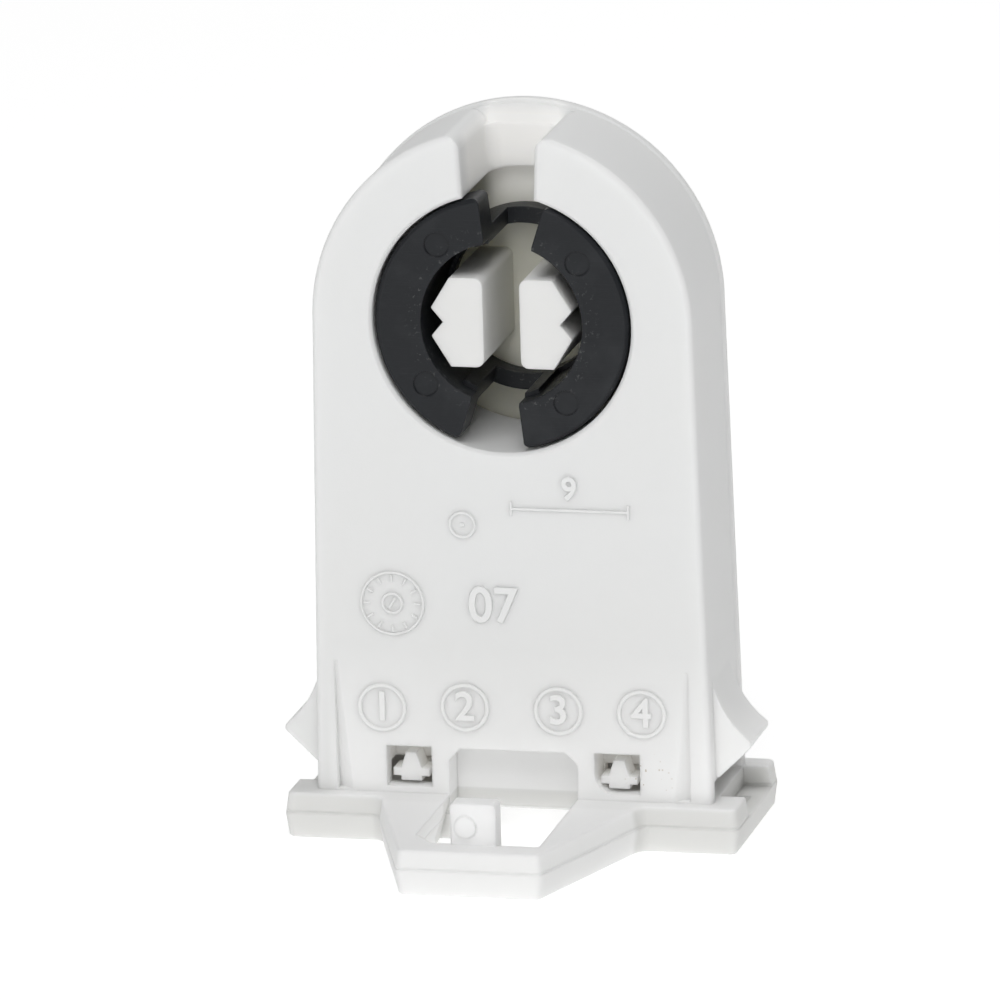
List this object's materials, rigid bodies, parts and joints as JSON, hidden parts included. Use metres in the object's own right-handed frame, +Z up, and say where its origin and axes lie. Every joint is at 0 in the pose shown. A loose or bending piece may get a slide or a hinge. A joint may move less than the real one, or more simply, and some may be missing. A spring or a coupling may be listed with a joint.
{
  "type": "fluorescent tube lamp holder",
  "caption": "Push-through lamp holder for a bi-pin fluorescent tube: arched white housing with snap barbs, a flange with a latch loop, and a black rotor that turns about fixed posts.",
  "frame": {"origin": "middle of the bounding box's underside, on the underside of the base", "axes": "+Z up from the base along the housing, -Y out of the front where the tube's cap stands, +X to the right seen from the front"},
  "size_m": [0.0362, 0.0282, 0.0552],
  "materials": {
    "white_moulding": "satin, fine moulded texture",
    "black_moulding": "semi-gloss",
    "copper_alloy": "bright rolled strip"
  },
  "bodies": {
    "holder": {"housing": "white_moulding", "rear_cover": "white_moulding", "contact_left": "copper_alloy", "contact_right": "copper_alloy"},
    "rotor": {"rotor": "black_moulding"}
  },
  "joints": [
    {"name": "rotor_turn", "type": "hinge", "parent": "holder", "child": "rotor", "pos_m": [0, 0.001, 0.0402], "axis": [0, 1, 0], "continuous": true}
  ]
}
